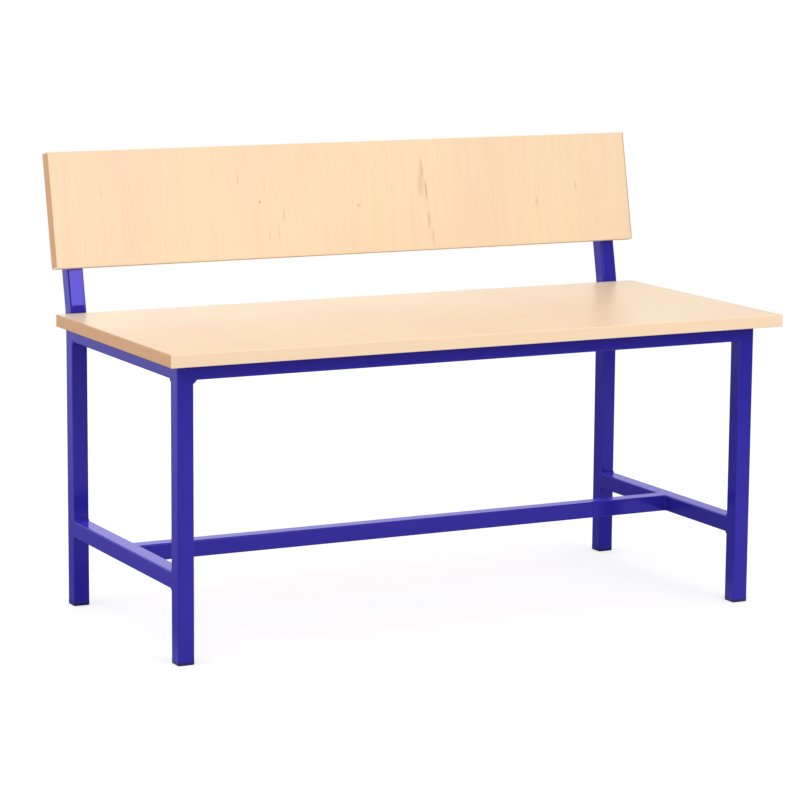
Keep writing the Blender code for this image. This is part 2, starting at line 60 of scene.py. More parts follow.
WELD_DEPTH = 0.0022              # how far a butted end runs into its neighbour
LEAN = math.radians(12)
BEND_START = 0.426
BEND_RADIUS = 0.160
BEND_SINK = 0.0012               # how far the stretched front wall sinks
BEND_BULGE = 0.0005              # how far the side walls bulge
BEND_FACETS = 28
WALL_FACETS = 10
FLARE = 0.0004                   # how far the plug driven into a leg spreads its wall
FLARE_RISE = 0.0034
FLARE_STATIONS = (0, 0.85)       # shares of its rise; the second keeps its upper edge crisp
HOLE_FACETS = 32
SMOOTH_LIMIT = math.radians(32)
SLIVER = 0.000002                # points closer than this are one
FIT = 0.0003                     # between a tube and what is held against it
SHANK = 0.0025
SCREW_POINT = 0.005
SCREW_LENGTHS = {"seat": 0.0171, "backrest": 0.0406}
SCREW_HOLE = 0.0056
ACCESS_HOLE = 0.012              # in a rail's lower wall, for a seat screw's head and its driver
SIDES = (("left", -1), ("right", 1))

front_leg_low, front_leg_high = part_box("front_leg_left")
upright_low, upright_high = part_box("rear_upright_left")
LEG_X = (front_leg_low.x + front_leg_high.x) / -2
FRONT_LEG_Y = (front_leg_low.y + front_leg_high.y) / 2
UPRIGHT_Y = upright_low.y + TUBE / 2
BEND_SHIFT = BEND_RADIUS * (1 - math.cos(LEAN))
BEND_END = BEND_START + BEND_RADIUS * math.sin(LEAN)
BEND_PLACE = Matrix.Translation((0, UPRIGHT_Y + BEND_SHIFT, BEND_END))
LEAN_FRAME = BEND_PLACE @ Matrix.Rotation(-LEAN, 4, "X")


def finish_mesh(name, body):
    """Turn a bmesh into a mesh with its faces pointing out."""
    bmesh.ops.recalc_face_normals(body, faces=body.faces)
    mesh = bpy.data.meshes.new(name)
    body.to_mesh(mesh)
    body.free()
    return mesh


def loft(name, rows, looped=False):
    """Skin through rings of points, capped at its ends or looped from the last to the first."""
    body = bmesh.new()
    rings = [[body.verts.new(point) for point in row] for row in rows]
    pairs = list(zip(rings, rings[1:]))
    if looped:
        pairs.append((rings[-1], rings[0]))
    else:
        body.faces.new(rings[0])
        body.faces.new(rings[-1])
    for lower, upper in pairs:
        for index in range(len(lower)):
            after = (index + 1) % len(lower)
            body.faces.new((lower[index], lower[after], upper[after], upper[index]))
    return finish_mesh(name, body)


def rounded_square(half, radius, wall_facets=1):
    """Outline of a square with rounded corners and its sides cut into wall_facets."""
    outline = []
    centre = Vector((half - radius, half - radius))
    for corner in range(4):
        turn = Matrix.Rotation(corner * math.pi / 2, 2)
        for step in range(CORNER_FACETS + 1):
            angle = step / CORNER_FACETS * math.pi / 2
            outline.append(turn @ (centre + radius * Vector((math.cos(angle), math.sin(angle)))))
        for step in range(1, wall_facets):
            across = centre.x * (1 - 2 * step / wall_facets)
            outline.append(turn @ Vector((across, half)))
    return outline


def turned_to(direction):
    """A turn that takes Z to one of the axes, keeping the section's sides level."""
    return Vector((0, 0, 1)).rotation_difference(Vector(direction)).to_matrix().to_4x4()


def add_piece(name, mesh, place=Matrix.Identity(4)):
    piece = bpy.data.objects.new(name, mesh)
    bpy.context.scene.collection.objects.link(piece)
    piece.matrix_world = place
    return piece


def straight_tube(node, overlap=0, flare=0):
    """Hollow tube of one CAD node, its ends run into its neighbours or its lower end flared."""
    low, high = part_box(node)
    size = high - low
    axis = max(range(3), key=lambda index: size[index])
    half_length = size[axis] / 2 + overlap
    direction = [0, 0, 0]
    direction[axis] = 1
    rings = []
    for share in FLARE_STATIONS:
        spread = flare * (1 - share)
        rings.append((TUBE / 2 + spread, CORNER_RADIUS + spread, share * FLARE_RISE - half_length))
    rings += [
        (TUBE / 2, CORNER_RADIUS, FLARE_RISE - half_length),
        (TUBE / 2, CORNER_RADIUS, half_length),
        (TUBE / 2 - WALL, BORE_RADIUS, half_length),
        (TUBE / 2 - WALL, BORE_RADIUS, -half_length),
    ]
    rows = [[(x, y, end) for x, y in rounded_square(half, radius)] for half, radius, end in rings]
    place = Matrix.Translation((low + high) / 2) @ turned_to(direction)
    return add_piece(f"{node}_tube", loft(node, rows, looped=True), place)


def bent_tube(side, sign):
    """Rear leg: upright to just under the seat's face, bent back by the lean, straight again."""
    stations = [(0, upright_low.z + share * FLARE_RISE, 0, 0) for share in (*FLARE_STATIONS, 1)]
    for step in range(BEND_FACETS + 1):
        share = step / BEND_FACETS
        lean = share * LEAN
        shift = BEND_RADIUS * (1 - math.cos(lean))
        height = BEND_START + BEND_RADIUS * math.sin(lean)
        stations.append((shift, height, lean, math.sin(share * math.pi)))
    top = (upright_high.z - BEND_END - TUBE / 2 * math.sin(LEAN)) / math.cos(LEAN)
    top_shift = BEND_SHIFT + top * math.sin(LEAN)
    stations.append((top_shift, BEND_END + top * math.cos(LEAN), LEAN, 0))
    rows = []
    skins = (
        (TUBE / 2, CORNER_RADIUS, FLARE, stations),
        (TUBE / 2 - WALL, BORE_RADIUS, 0, stations[::-1]),
    )
    for half, radius, flare, path in skins:
        for shift, height, lean, strength in path:
            spread = flare * max(0, 1 - (height - upright_low.z) / FLARE_RISE)
            outline = rounded_square(half + spread, radius + spread, WALL_FACETS)
            row = []
            for x, y in outline:
                back = y + strength * max(-y / half, 0) * (1 - (x / half) ** 2) * BEND_SINK
                bulge = strength * x / half * (1 - (y / half) ** 2) * BEND_BULGE
                level = height - back * math.sin(lean)
                row.append((x + bulge, shift + back * math.cos(lean), level))
            rows.append(row)
    place = Matrix.Translation((sign * LEG_X, UPRIGHT_Y, 0))
    return add_piece(f"bent_tube_{side}", loft(f"bent_tube_{side}", rows, looped=True), place)


def screw_place(node):
    """A screw's own frame, read from its box: head's bearing face at the origin, tip towards +Z."""
    low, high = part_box(node)
    middle = (low + high) / 2
    length = SCREW_LENGTHS[node.split("_")[0]]
    if node.startswith("seat"):
        return Matrix.Translation((middle.x, middle.y, high.z - length))
    # The highest point of a leaning screw is where its shank turns into its point.
    head_level = high.z - (length - SCREW_POINT) * math.sin(LEAN) - SHANK * math.cos(LEAN)
    back = TUBE / 2 + FIT
    rise = (head_level - BEND_END + back * math.sin(LEAN)) / math.cos(LEAN)
    place = LEAN_FRAME @ Matrix.Translation((middle.x, back, rise))
    return place @ Matrix.Rotation(math.pi / 2, 4, "X")


def rod(place, diameter, foot, top):
    """A round cutter along the Z of place."""
    body = bmesh.new()
    bmesh.ops.create_cone(
        body, cap_ends=True, segments=HOLE_FACETS, radius1=diameter / 2, radius2=diameter / 2,
        depth=top - foot, matrix=Matrix.Translation((0, 0, (foot + top) / 2)))
    return add_piece("rod", finish_mesh("rod", body), place)


def shank_drill(node):
    """Cutter for a screw's shank, from below its head to just past its tip."""
    return rod(screw_place(node), SCREW_HOLE, -2 * WALL, SCREW_LENGTHS[node.split("_")[0]] + FIT)


def combine(piece, tools, operation):
    """Add the tools to a piece or cut them from it, and remove them."""
    group = bpy.data.collections.new("tools")
    for tool in tools:
        group.objects.link(tool)
    modifier = piece.modifiers.new(operation.lower(), "BOOLEAN")
    modifier.operation = operation
    modifier.solver = "EXACT"
    modifier.operand_type = "COLLECTION"
    modifier.collection = group
    apply_modifiers(piece)
    for tool in tools:
        bpy.data.objects.remove(tool)
    bpy.data.collections.remove(group)


def apply_modifiers(piece):
    graph = bpy.context.evaluated_depsgraph_get()
    mesh = bpy.data.meshes.new_from_object(piece.evaluated_get(graph))
    piece.modifiers.clear()
    piece.data = mesh


def merge_slivers(mesh):
    """Merge the points that cuts leave a hair apart, so that the skin is closed."""
    body = bmesh.new()
    body.from_mesh(mesh)
    bmesh.ops.remove_doubles(body, verts=body.verts, dist=SLIVER)
    bmesh.ops.dissolve_degenerate(body, edges=body.edges, dist=SLIVER)
    body.to_mesh(mesh)
    body.free()


def shade_flat_and_round(piece):
    """Round corners shaded smooth, with normals that keep the broad faces flat."""
    piece.data.shade_smooth()
    piece.data.set_sharp_from_angle(angle=SMOOTH_LIMIT)
    normals = piece.modifiers.new("broad_faces_flat", "WEIGHTED_NORMAL")
    normals.keep_sharp = True
    apply_modifiers(piece)


butted_tubes = [
    "top_rail_front", "top_rail_rear", "top_rail_left", "top_rail_right",
    "side_stretcher_left", "side_stretcher_right", "long_stretcher",
]
legs = ["front_leg_left", "front_leg_right"]
uprights = ["rear_upright_left", "rear_upright_right"]
screws = [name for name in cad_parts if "_screw_" in name]
welded_frame = straight_tube(butted_tubes[0], WELD_DEPTH)
welded_frame.name = "welded_frame"
others = [straight_tube(node, WELD_DEPTH) for node in butted_tubes[1:]]
others += [straight_tube(node, flare=FLARE) for node in legs]
others += [bent_tube(side, sign) for side, sign in SIDES]
combine(welded_frame, others, "UNION")
seat_screws = [name for name in screws if name.startswith("seat")]
access_drills = [rod(screw_place(node), ACCESS_HOLE, -TUBE, -TUBE / 2) for node in seat_screws]
combine(welded_frame, [shank_drill(node) for node in screws] + access_drills, "DIFFERENCE")
merge_slivers(welded_frame.data)
shade_flat_and_round(welded_frame)

# Powder coat: violet-blue polyester powder, sprayed on and baked to a hard, glossy film. A faint
# orange peel softens its reflections, and a little fine pearl pigment in it tints them violet.
PEEL_WIDTH = 0.0035              # real peel is 1 to 2 mm; drawn coarser so that it shows
PEEL_DEPTH = 0.000012
THICKNESS_CLOUD = 0.12           # how widely the film's thickness varies, and its colour with it


def linear_rgb(hex_colour):
    """Linear RGBA of an sRGB hex colour."""
    channels = [int(hex_colour[start:start + 2], 16) / 255 for start in (0, 2, 4)]
    return [c / 12.92 if c <= 0.04045 else ((c + 0.055) / 1.055) ** 2.4 for c in channels] + [1]


def add_node(tree, kind, inputs=None, **settings):
    """Add a node: settings are its own options, inputs its sockets' values or what feeds them."""
    node = tree.nodes.new(kind)
    for option, value in settings.items():
        setattr(node, option, value)
    for socket, value in (inputs or {}).items():
        if isinstance(value, bpy.types.NodeSocket):
            tree.links.new(value, node.inputs[socket])
        else:
            node.inputs[socket].default_value = value
    return node


powder_coat = bpy.data.materials.new("violet_blue_powder_coat")
powder_coat.use_nodes = True
tree = powder_coat.node_tree
shader = tree.nodes["Principled BSDF"]
place = add_node(tree, "ShaderNodeTexCoord").outputs["Object"]
clouds = add_node(tree, "ShaderNodeTexNoise", {
    "Vector": place, "Scale": 1 / THICKNESS_CLOUD, "Detail": 2})
tint = add_node(tree, "ShaderNodeMix", {
    0: clouds.outputs["Fac"], 6: linear_rgb("2a259d"), 7: linear_rgb("2f29a4")}, data_type="RGBA")
peel = add_node(tree, "ShaderNodeTexNoise", {"Vector": place, "Scale": 1 / PEEL_WIDTH, "Detail": 1})
bump = add_node(tree, "ShaderNodeBump", {
    "Height": peel.outputs["Fac"], "Strength": 1, "Distance": PEEL_DEPTH})
gloss = add_node(tree, "ShaderNodeMapRange", {
    "Value": clouds.outputs["Fac"], "To Min": 0.12, "To Max": 0.17})
tree.links.new(tint.outputs[2], shader.inputs["Base Color"])
tree.links.new(gloss.outputs["Result"], shader.inputs["Roughness"])
tree.links.new(bump.outputs["Normal"], shader.inputs["Normal"])
shader.inputs["IOR"].default_value = 1.42
shader.inputs["Specular Tint"].default_value = linear_rgb("dcc8ff")
shader.inputs["Metallic"].default_value = 0.15
shader.inputs["Sheen Weight"].default_value = 0.6
shader.inputs["Sheen Roughness"].default_value = 0.4
shader.inputs["Sheen Tint"].default_value = linear_rgb("5c4cff")

welded_frame.data.materials.clear()
welded_frame.data.materials.append(powder_coat)
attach(welded_frame, "root")
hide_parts(*butted_tubes, *legs, *uprights)


# Weld beads
# Fillet welds in the inner corners, left as they were laid: a crowned bead with the fine ripples of
# the gun's steps. They are coated with the frame.
RIPPLE_PITCH = 0.0014
RIPPLE_HEIGHT = 0.00012
RIPPLE_STATIONS = 6              # rings in one ripple
BEAD_FACETS = 8
BEAD_CROWN = 0.0005
BEAD_SINK = 0.0004               # how far a bead reaches into both walls
BEAD_END = 0.0012                # length over which a bead swells from its end
BEAD_SMOOTH_LIMIT = math.radians(50)


def bead_mesh(name, leg, run):
    """Fillet bead along local Z in the corner of the planes X = 0 and Y = 0."""
    count = round(run / RIPPLE_PITCH) * RIPPLE_STATIONS
    outwards = Vector((1, 1)).normalized()
    rows = []
    for index in range(count + 1):
        along = (index / count - 0.5) * run
        from_end = run / 2 - abs(along)
        swell = math.sqrt(min(1, (from_end + BEAD_CROWN) / BEAD_END))
        ripple = RIPPLE_HEIGHT * math.sin(2 * math.pi * along / RIPPLE_PITCH)
        size = leg * swell + ripple
        row = [(-BEAD_SINK, -BEAD_SINK, along), (size, -BEAD_SINK, along)]
        for step in range(BEAD_FACETS + 1):
            share = step / BEAD_FACETS
            face = Vector((size, 0)).lerp(Vector((0, size)), share)
            face += (BEAD_CROWN + ripple) * math.sin(share * math.pi) * outwards
            row.append((*face, along))
        row.append((-BEAD_SINK, size, along))
        rows.append(row)
    return loft(name, rows)


def wall_directions(node):
    """The way that a bead grows from each of its two walls."""
    side_sign = -1 if "left" in node else 1
    inwards = (-side_sign, 0, 0)
    if node.startswith(("weld_rear_rail", "weld_long_stretcher")):
        return inwards, ((0, -1, 0) if node.endswith("front") else (0, 1, 0))
    if node.startswith("weld_front_rail"):
        return inwards, (0, 0, -1)
    way = (0, 1, 0) if "_front" in node else (0, -1, 0)
    return way, ((0, 0, 1) if node.endswith("upper") else (0, 0, -1))


for node in sorted(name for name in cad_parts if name.startswith("weld_")):
    low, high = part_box(node)
    first, second = wall_directions(node)
    corner = (low + high) / 2
    for way in (first, second):
        axis = max(range(3), key=lambda index: abs(way[index]))
        corner[axis] = (low if way[axis] > 0 else high)[axis]
    leg, _, run = sorted(high - low)
    run_direction = Vector(first).cross(Vector(second))
    turn = Matrix((Vector(first), Vector(second), run_direction)).transposed().to_4x4()
    place = Matrix.Translation(corner) @ turn
    bead = add_piece(node.replace("weld_", "bead_"), bead_mesh(node, leg, run), place)
    bead.data.shade_smooth()
    bead.data.set_sharp_from_angle(angle=BEAD_SMOOTH_LIMIT)
    bead.data.materials.append(powder_coat)
    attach(bead, "root")
    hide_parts(node)


# Feet and end caps
# Blue-black polyethylene plugs, injection moulded and knocked into the tube ends: a flat head as
# wide as the tube and a hollow stem with four ribs that grip the bore.
HEAD_HEIGHT = 0.004
HEAD_EDGE = 0.0008
HEAD_EDGE_FACETS = 4
STEM_TOP = 0.022
STEM_WALL = 0.0015
RIB_HALF = TUBE / 2 - WALL - FIT
RIB_REACH = 0.0022
RIB_TAPER = 0.0006
RIB_HEIGHT = 0.0016
RIB_COUNT = 4

plug_profile = []
for step in range(HEAD_EDGE_FACETS + 1):
    angle = step / HEAD_EDGE_FACETS * math.pi / 2
    inset = HEAD_EDGE * (1 - math.sin(angle))
    plug_profile.append((TUBE / 2 - inset, HEAD_EDGE * (1 - math.cos(angle))))
plug_profile.append((TUBE / 2, HEAD_HEIGHT))
plug_profile.append((RIB_HALF - RIB_REACH, HEAD_HEIGHT))
rib_pitch = (STEM_TOP - HEAD_HEIGHT) / (RIB_COUNT + 1)
for number in range(1, RIB_COUNT + 1):
    rib_foot = HEAD_HEIGHT + number * rib_pitch - RIB_HEIGHT / 2
    plug_profile.append((RIB_HALF - RIB_REACH, rib_foot))
    plug_profile.append((RIB_HALF, rib_foot))
    plug_profile.append((RIB_HALF - RIB_TAPER, rib_foot + RIB_HEIGHT))
    plug_profile.append((RIB_HALF - RIB_REACH, rib_foot + RIB_HEIGHT))
plug_profile.append((RIB_HALF - RIB_REACH, STEM_TOP))
plug_profile.append((RIB_HALF - RIB_REACH - STEM_WALL, STEM_TOP))
plug_profile.append((RIB_HALF - RIB_REACH - STEM_WALL, HEAD_HEIGHT))
plug_rows = []
for half, height in plug_profile:
    plug_rows.append([(x, y, height) for x, y in rounded_square(half, CORNER_RADIUS)])
plug_mesh = loft("ribbed_plug", plug_rows)
plug_mesh.shade_smooth()
plug_mesh.set_sharp_from_angle(angle=SMOOTH_LIMIT)

# Near black with a blue cast, satin from the eroded grain of the mould.
MOULD_GRAIN = 0.0009
GRAIN_DEPTH = 0.00003

plug_plastic = bpy.data.materials.new("moulded_black_polyethylene")
plug_plastic.use_nodes = True
tree = plug_plastic.node_tree
shader = tree.nodes["Principled BSDF"]
place = add_node(tree, "ShaderNodeTexCoord").outputs["Object"]
grain = add_node(tree, "ShaderNodeTexNoise", {
    "Vector": place, "Scale": 1 / MOULD_GRAIN, "Detail": 3})
bump = add_node(tree, "ShaderNodeBump", {
    "Height": grain.outputs["Fac"], "Strength": 0.6, "Distance": GRAIN_DEPTH})
tint = add_node(tree, "ShaderNodeMix", {
    0: grain.outputs["Fac"], 6: linear_rgb("0c064c"), 7: linear_rgb("120a5a")}, data_type="RGBA")
gloss = add_node(tree, "ShaderNodeMapRange", {
    "Value": grain.outputs["Fac"], "To Min": 0.42, "To Max": 0.55})
tree.links.new(tint.outputs[2], shader.inputs["Base Color"])
tree.links.new(gloss.outputs["Result"], shader.inputs["Roughness"])
tree.links.new(bump.outputs["Normal"], shader.inputs["Normal"])
shader.inputs["IOR"].default_value = 1.51
plug_mesh.materials.append(plug_plastic)

# The highest point of a leaning cap is on the round edge of its head.
edge_rise = (TUBE / 2 - HEAD_EDGE) * math.sin(LEAN) + HEAD_EDGE * (1 - math.cos(LEAN))
CAP_TOP = (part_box("upright_cap_left")[1].z - BEND_END - edge_rise) / math.cos(LEAN)
plug_places = {}
for side, sign in SIDES:
    plug_places[f"foot_front_{side}"] = Matrix.Translation((sign * LEG_X, FRONT_LEG_Y, 0))
    plug_places[f"foot_rear_{side}"] = Matrix.Translation((sign * LEG_X, UPRIGHT_Y, 0))
    top = LEAN_FRAME @ Matrix.Translation((sign * LEG_X, 0, CAP_TOP))
    plug_places[f"upright_cap_{side}"] = top @ Matrix.Rotation(math.pi, 4, "X")
for node, place in plug_places.items():
    plug = add_piece(f"{node}_plug", plug_mesh.copy())
    plug.data.transform(place)
    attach(plug, "root")
    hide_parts(node)


# Boards
# 18 mm chipboard faced on both sides with melamine paper in a maple decor: pale, smooth, satin,
# with the grain printed across the board. Cut from large sheets, drilled from behind for screws.
BOARD = 0.018
BAND = 0.002
JOINT_LINE = 0.00008             # what is left between the face and a glued edge band
BACKREST_HEIGHT = 0.175
BACKREST_LEVEL = 0.515           # of the lower edge of its back

seat_low, seat_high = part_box("seat_core")
seat_band_low, seat_band_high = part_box("seat_band_front")
BOARD_LENGTH = seat_band_high.x - seat_band_low.x
SEAT_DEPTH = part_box("seat_band_back")[1].y - seat_band_low.y
SEAT_FRAME = Matrix.Translation((seat_low + seat_high) / 2)
back_rise = (TUBE / 2 + FIT) * math.sin(LEAN)
backrest_foot = (BACKREST_LEVEL - BEND_END - back_rise) / math.cos(LEAN)
backrest_middle = (0, -(TUBE / 2 + FIT + BOARD / 2), backrest_foot + BACKREST_HEIGHT / 2)
BACKREST_PLACE = LEAN_FRAME @ Matrix.Translation(backrest_middle)
BACKREST_FRAME = BACKREST_PLACE @ Matrix.Rotation(math.pi / 2, 4, "X")


def slab_mesh(name, size):
    """Board blank, centred."""
    body = bmesh.new()
    bmesh.ops.create_cube(body, size=1, matrix=Matrix.Diagonal((*size, 1)))
    return finish_mesh(name, body)


def board_core(name, width, board_frame, nodes):
    """The board inside its bands, with the blind pilot holes of its screws."""
    trim = 2 * (BAND + JOINT_LINE)
    blank = slab_mesh(name, (BOARD_LENGTH - trim, width - trim, BOARD))
    core = add_piece(name, blank, board_frame)
    combine(core, [shank_drill(node) for node in nodes], "DIFFERENCE")
    return core


backrest_screws = [name for name in screws if name.startswith("backrest")]
seat_core = board_core("seat_core_board", SEAT_DEPTH, SEAT_FRAME, seat_screws)
backrest_core = board_core(
    "backrest_core_board", BACKREST_HEIGHT, BACKREST_FRAME, backrest_screws)

# Printed melamine paper: cream with soft pink and yellow bands that run with the grain, faint
# fibres, a few pin knots and short flecks. The resin film over it is satin.
BAND_ACROSS = 0.030
BAND_ALONG = 0.35
CLOUD_ACROSS = 0.15
CLOUD_ALONG = 0.45
FIBRE_ACROSS = 0.0035            # real fibres are under 1 mm; drawn coarser so that they show
FIBRE_ALONG = 0.12
FLECK_ACROSS = 0.004
FLECK_ALONG = 0.040
SWAY = 0.012                     # how far the grain wanders from a straight line
SWAY_LENGTH = 0.20
FILM_RELIEF = 0.00002            # how far the fibres stand out of the resin film
MARK_CORE = 0.1                  # share of a mark that has its full strength


def maple_decor(name, marks):
    """Material of a board's face. Marks are knots and flecks: place, half sizes and strength."""
    material = bpy.data.materials.new(name)
    material.use_nodes = True
    tree = material.node_tree
    shader = tree.nodes["Principled BSDF"]
    place = add_node(tree, "ShaderNodeTexCoord").outputs["Object"]
    wander = add_node(tree, "ShaderNodeTexNoise", {
        "Vector": place, "Scale": 1 / SWAY_LENGTH, "Detail": 1})
    grain_place = add_node(tree, "ShaderNodeVectorMath", {
        0: wander.outputs["Color"], 1: (SWAY, 0, 0), 2: place}, operation="MULTIPLY_ADD")
    patterns = {}
    for pattern, across, along, detail in (
            ("bands", BAND_ACROSS, BAND_ALONG, 3), ("clouds", CLOUD_ACROSS, CLOUD_ALONG, 2),
            ("fibres", FIBRE_ACROSS, FIBRE_ALONG, 4), ("flecks", FLECK_ACROSS, FLECK_ALONG, 1)):
        stretched = add_node(tree, "ShaderNodeMapping", {
            "Vector": grain_place.outputs["Vector"], "Scale": (1 / across, 1 / along, 1 / along)})
        patterns[pattern] = add_node(tree, "ShaderNodeTexNoise", {
            "Vector": stretched.outputs["Vector"], "Scale": 1, "Detail": detail}).outputs["Fac"]
    colour = linear_rgb("f4d9b4")
    for pattern, start, end, share, tone in (
            ("bands", 0.46, 0.34, 0.65, "f6d3b4"), ("bands", 0.54, 0.66, 0.9, "efd9ae"),
            ("clouds", 0.45, 0.65, 0.55, "f2cfb2"), ("fibres", 0.40, 0.75, 0.14, "deb98e"),
            ("flecks", 0.74, 0.84, 0.30, "c99f76")):
        amount = add_node(tree, "ShaderNodeMapRange", {
            "Value": patterns[pattern], "From Min": start, "From Max": end, "To Max": share})
        mix = add_node(tree, "ShaderNodeMix", {
            0: amount.outputs["Result"], 6: colour, 7: linear_rgb(tone)}, data_type="RGBA")
        colour = mix.outputs[2]
    for spot, half_width, half_length, strength in marks:
        offset = add_node(tree, "ShaderNodeVectorMath", {
            0: place, 1: (*spot, BOARD / 2)}, operation="SUBTRACT")
        scaled = add_node(tree, "ShaderNodeVectorMath", {
            0: offset.outputs["Vector"], 1: (1 / half_width, 1 / half_length, 1 / BOARD)},
            operation="MULTIPLY")
        distance = add_node(
            tree, "ShaderNodeVectorMath", {0: scaled.outputs["Vector"]}, operation="LENGTH")
        amount = add_node(tree, "ShaderNodeMapRange", {
            "Value": distance.outputs["Value"], "From Min": MARK_CORE, "From Max": 1,
            "To Min": strength, "To Max": 0}, interpolation_type="SMOOTHSTEP")
        mix = add_node(tree, "ShaderNodeMix", {
            0: amount.outputs["Result"], 6: colour, 7: linear_rgb("b5845e")}, data_type="RGBA")
        colour = mix.outputs[2]
    gloss = add_node(tree, "ShaderNodeMapRange", {
        "Value": patterns["fibres"], "To Min": 0.30, "To Max": 0.38})
    bump = add_node(tree, "ShaderNodeBump", {
        "Height": patterns["fibres"], "Strength": 0.5, "Distance": FILM_RELIEF})
    tree.links.new(colour, shader.inputs["Base Color"])
    tree.links.new(gloss.outputs["Result"], shader.inputs["Roughness"])
    tree.links.new(bump.outputs["Normal"], shader.inputs["Normal"])
    shader.inputs["IOR"].default_value = 1.39
    return material


backrest_marks = (
    ((-0.418, 0.022), 0.0022, 0.0090, 0.22),
    ((-0.193, 0.035), 0.0016, 0.0140, 0.45),
    ((-0.159, -0.001), 0.0034, 0.0034, 0.70),
    ((-0.120, -0.023), 0.0030, 0.0200, 0.22),
    ((-0.147, -0.055), 0.0014, 0.0090, 0.40),
    ((-0.131, -0.050), 0.0030, 0.0240, 0.18),
    ((0.010, -0.013), 0.0060, 0.0050, 0.30),
    ((0.125, 0.040), 0.0040, 0.0260, 0.35),
    ((0.121, 0.015), 0.0090, 0.0280, 0.25),
    ((0.130, 0.006), 0.0022, 0.0260, 0.70),
    ((0.131, -0.040), 0.0045, 0.0220, 0.35),
    ((0.136, -0.068), 0.0040, 0.0220, 0.22),
    ((0.328, -0.020), 0.0060, 0.0110, 0.22),
    ((0.402, 0.004), 0.0018, 0.0110, 0.35),
    ((0.413, -0.014), 0.0018, 0.0070, 0.25),
    ((0.437, -0.052), 0.0020, 0.0070, 0.25),
)
seat_marks = (
    ((-0.220, 0.060), 0.0022, 0.0028, 0.40),
    ((0.130, -0.080), 0.0020, 0.0200, 0.25),
    ((0.310, 0.100), 0.0015, 0.0250, 0.25),
)
for core, node, marks in (
        (seat_core, "seat_core", seat_marks), (backrest_core, "backrest_core", backrest_marks)):
    core.data.materials.clear()
    core.data.materials.append(maple_decor(f"{node}_maple_melamine", marks))
    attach(core, "root")
    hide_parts(node)


# Edge bands
# 2 mm ABS strip in the board's decor, hot-glued on by machine and routed to a small radius along
# both edges, which catches a fine line of light. The long bands cover the ends of the short ones.
BAND_RADIUS = 0.0011
BAND_FACETS = 6
STREAK_RELIEF = 0.00002


def band_mesh(name, length):
    """Band along local Z, its outer side to +X."""
    outline = [(-BAND / 2, BOARD / 2), (-BAND / 2, -BOARD / 2)]
    for side in (-1, 1):
        for step in range(BAND_FACETS + 1):
            share = step / BAND_FACETS
            angle = side * (share if side > 0 else 1 - share) * math.pi / 2
            x = BAND / 2 - BAND_RADIUS + BAND_RADIUS * math.cos(angle)
            y = side * (BOARD / 2 - BAND_RADIUS) + BAND_RADIUS * math.sin(angle)
            outline.append((x, y))
    rows = [[(x, y, end * length / 2) for x, y in outline] for end in (-1, 1)]
    return loft(name, rows)


def keep_place(mesh, name):
    """Keep each point's place in the strip, for its pattern, before the strip is placed."""
    kept = mesh.attributes.new(name, "FLOAT_VECTOR", "POINT")
    kept.data.foreach_set("vector", [number for point in mesh.vertices for number in point.co])


def edge_band_abs(name, light, dark):
    """Material of one roll of edge band."""
    material = bpy.data.materials.new(name)
    material.use_nodes = True
    tree = material.node_tree
    shader = tree.nodes["Principled BSDF"]
    place = add_node(tree, "ShaderNodeAttribute", attribute_name="place_in_strip").outputs["Vector"]
    stretched = add_node(tree, "ShaderNodeMapping", {
        "Vector": place, "Scale": (1 / FIBRE_ACROSS, 1 / FIBRE_ACROSS, 1 / FIBRE_ALONG)})
    streaks = add_node(tree, "ShaderNodeTexNoise", {
        "Vector": stretched.outputs["Vector"], "Scale": 1, "Detail": 3})
    tint = add_node(tree, "ShaderNodeMix", {
        0: streaks.outputs["Fac"], 6: linear_rgb(light), 7: linear_rgb(dark)}, data_type="RGBA")
    gloss = add_node(tree, "ShaderNodeMapRange", {
        "Value": streaks.outputs["Fac"], "To Min": 0.34, "To Max": 0.44})
    bump = add_node(tree, "ShaderNodeBump", {
        "Height": streaks.outputs["Fac"], "Strength": 0.4, "Distance": STREAK_RELIEF})
    tree.links.new(tint.outputs[2], shader.inputs["Base Color"])
    tree.links.new(gloss.outputs["Result"], shader.inputs["Roughness"])
    tree.links.new(bump.outputs["Normal"], shader.inputs["Normal"])
    shader.inputs["IOR"].default_value = 1.5
    return material


# The end bands are the same maple band as the long ones; their darker, browner colours are painted
# shade on the board's ends.
edge_bands = {
    "long": edge_band_abs("maple_edge_band", "fbdfbc", "f5d5b0"),
    "end": edge_band_abs("brown_maple_edge_band", "d3a275", "c99567"),
}
short_side = {"seat": SEAT_DEPTH, "backrest": BACKREST_HEIGHT}
long_edges = {"seat": ("front", "back"), "backrest": ("bottom", "top")}
for board, board_frame in (("seat", SEAT_FRAME), ("backrest", BACKREST_FRAME)):
    width = short_side[board]
    strips = []
    for edge, sign in zip(long_edges[board], (-1, 1)):
        middle = (0, sign * (width - BAND) / 2, 0)
        strips.append((edge, BOARD_LENGTH, middle, (0, sign, 0), (1, 0, 0)))
    for edge, sign in SIDES:
        middle = (sign * (BOARD_LENGTH - BAND) / 2, 0, 0)
        strips.append((edge, width - 2 * BAND - 2 * JOINT_LINE, middle, (sign, 0, 0), (0, 1, 0)))
    for edge, length, middle, outwards, run in strips:
        node = f"{board}_band_{edge}"
        outwards, run = Vector(outwards), Vector(run)
        turn = Matrix((outwards, run.cross(outwards), run)).transposed().to_4x4()
        strip = add_piece(f"{node}_strip", band_mesh(node, length))
        keep_place(strip.data, "place_in_strip")
        strip.data.transform(board_frame @ Matrix.Translation(middle) @ turn)
        # The ends take the copy of the band with painted shade.
        strip.data.materials.append(edge_bands["end" if edge in ("left", "right") else "long"])
        shade_flat_and_round(strip)
        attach(strip, "root")
        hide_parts(node)


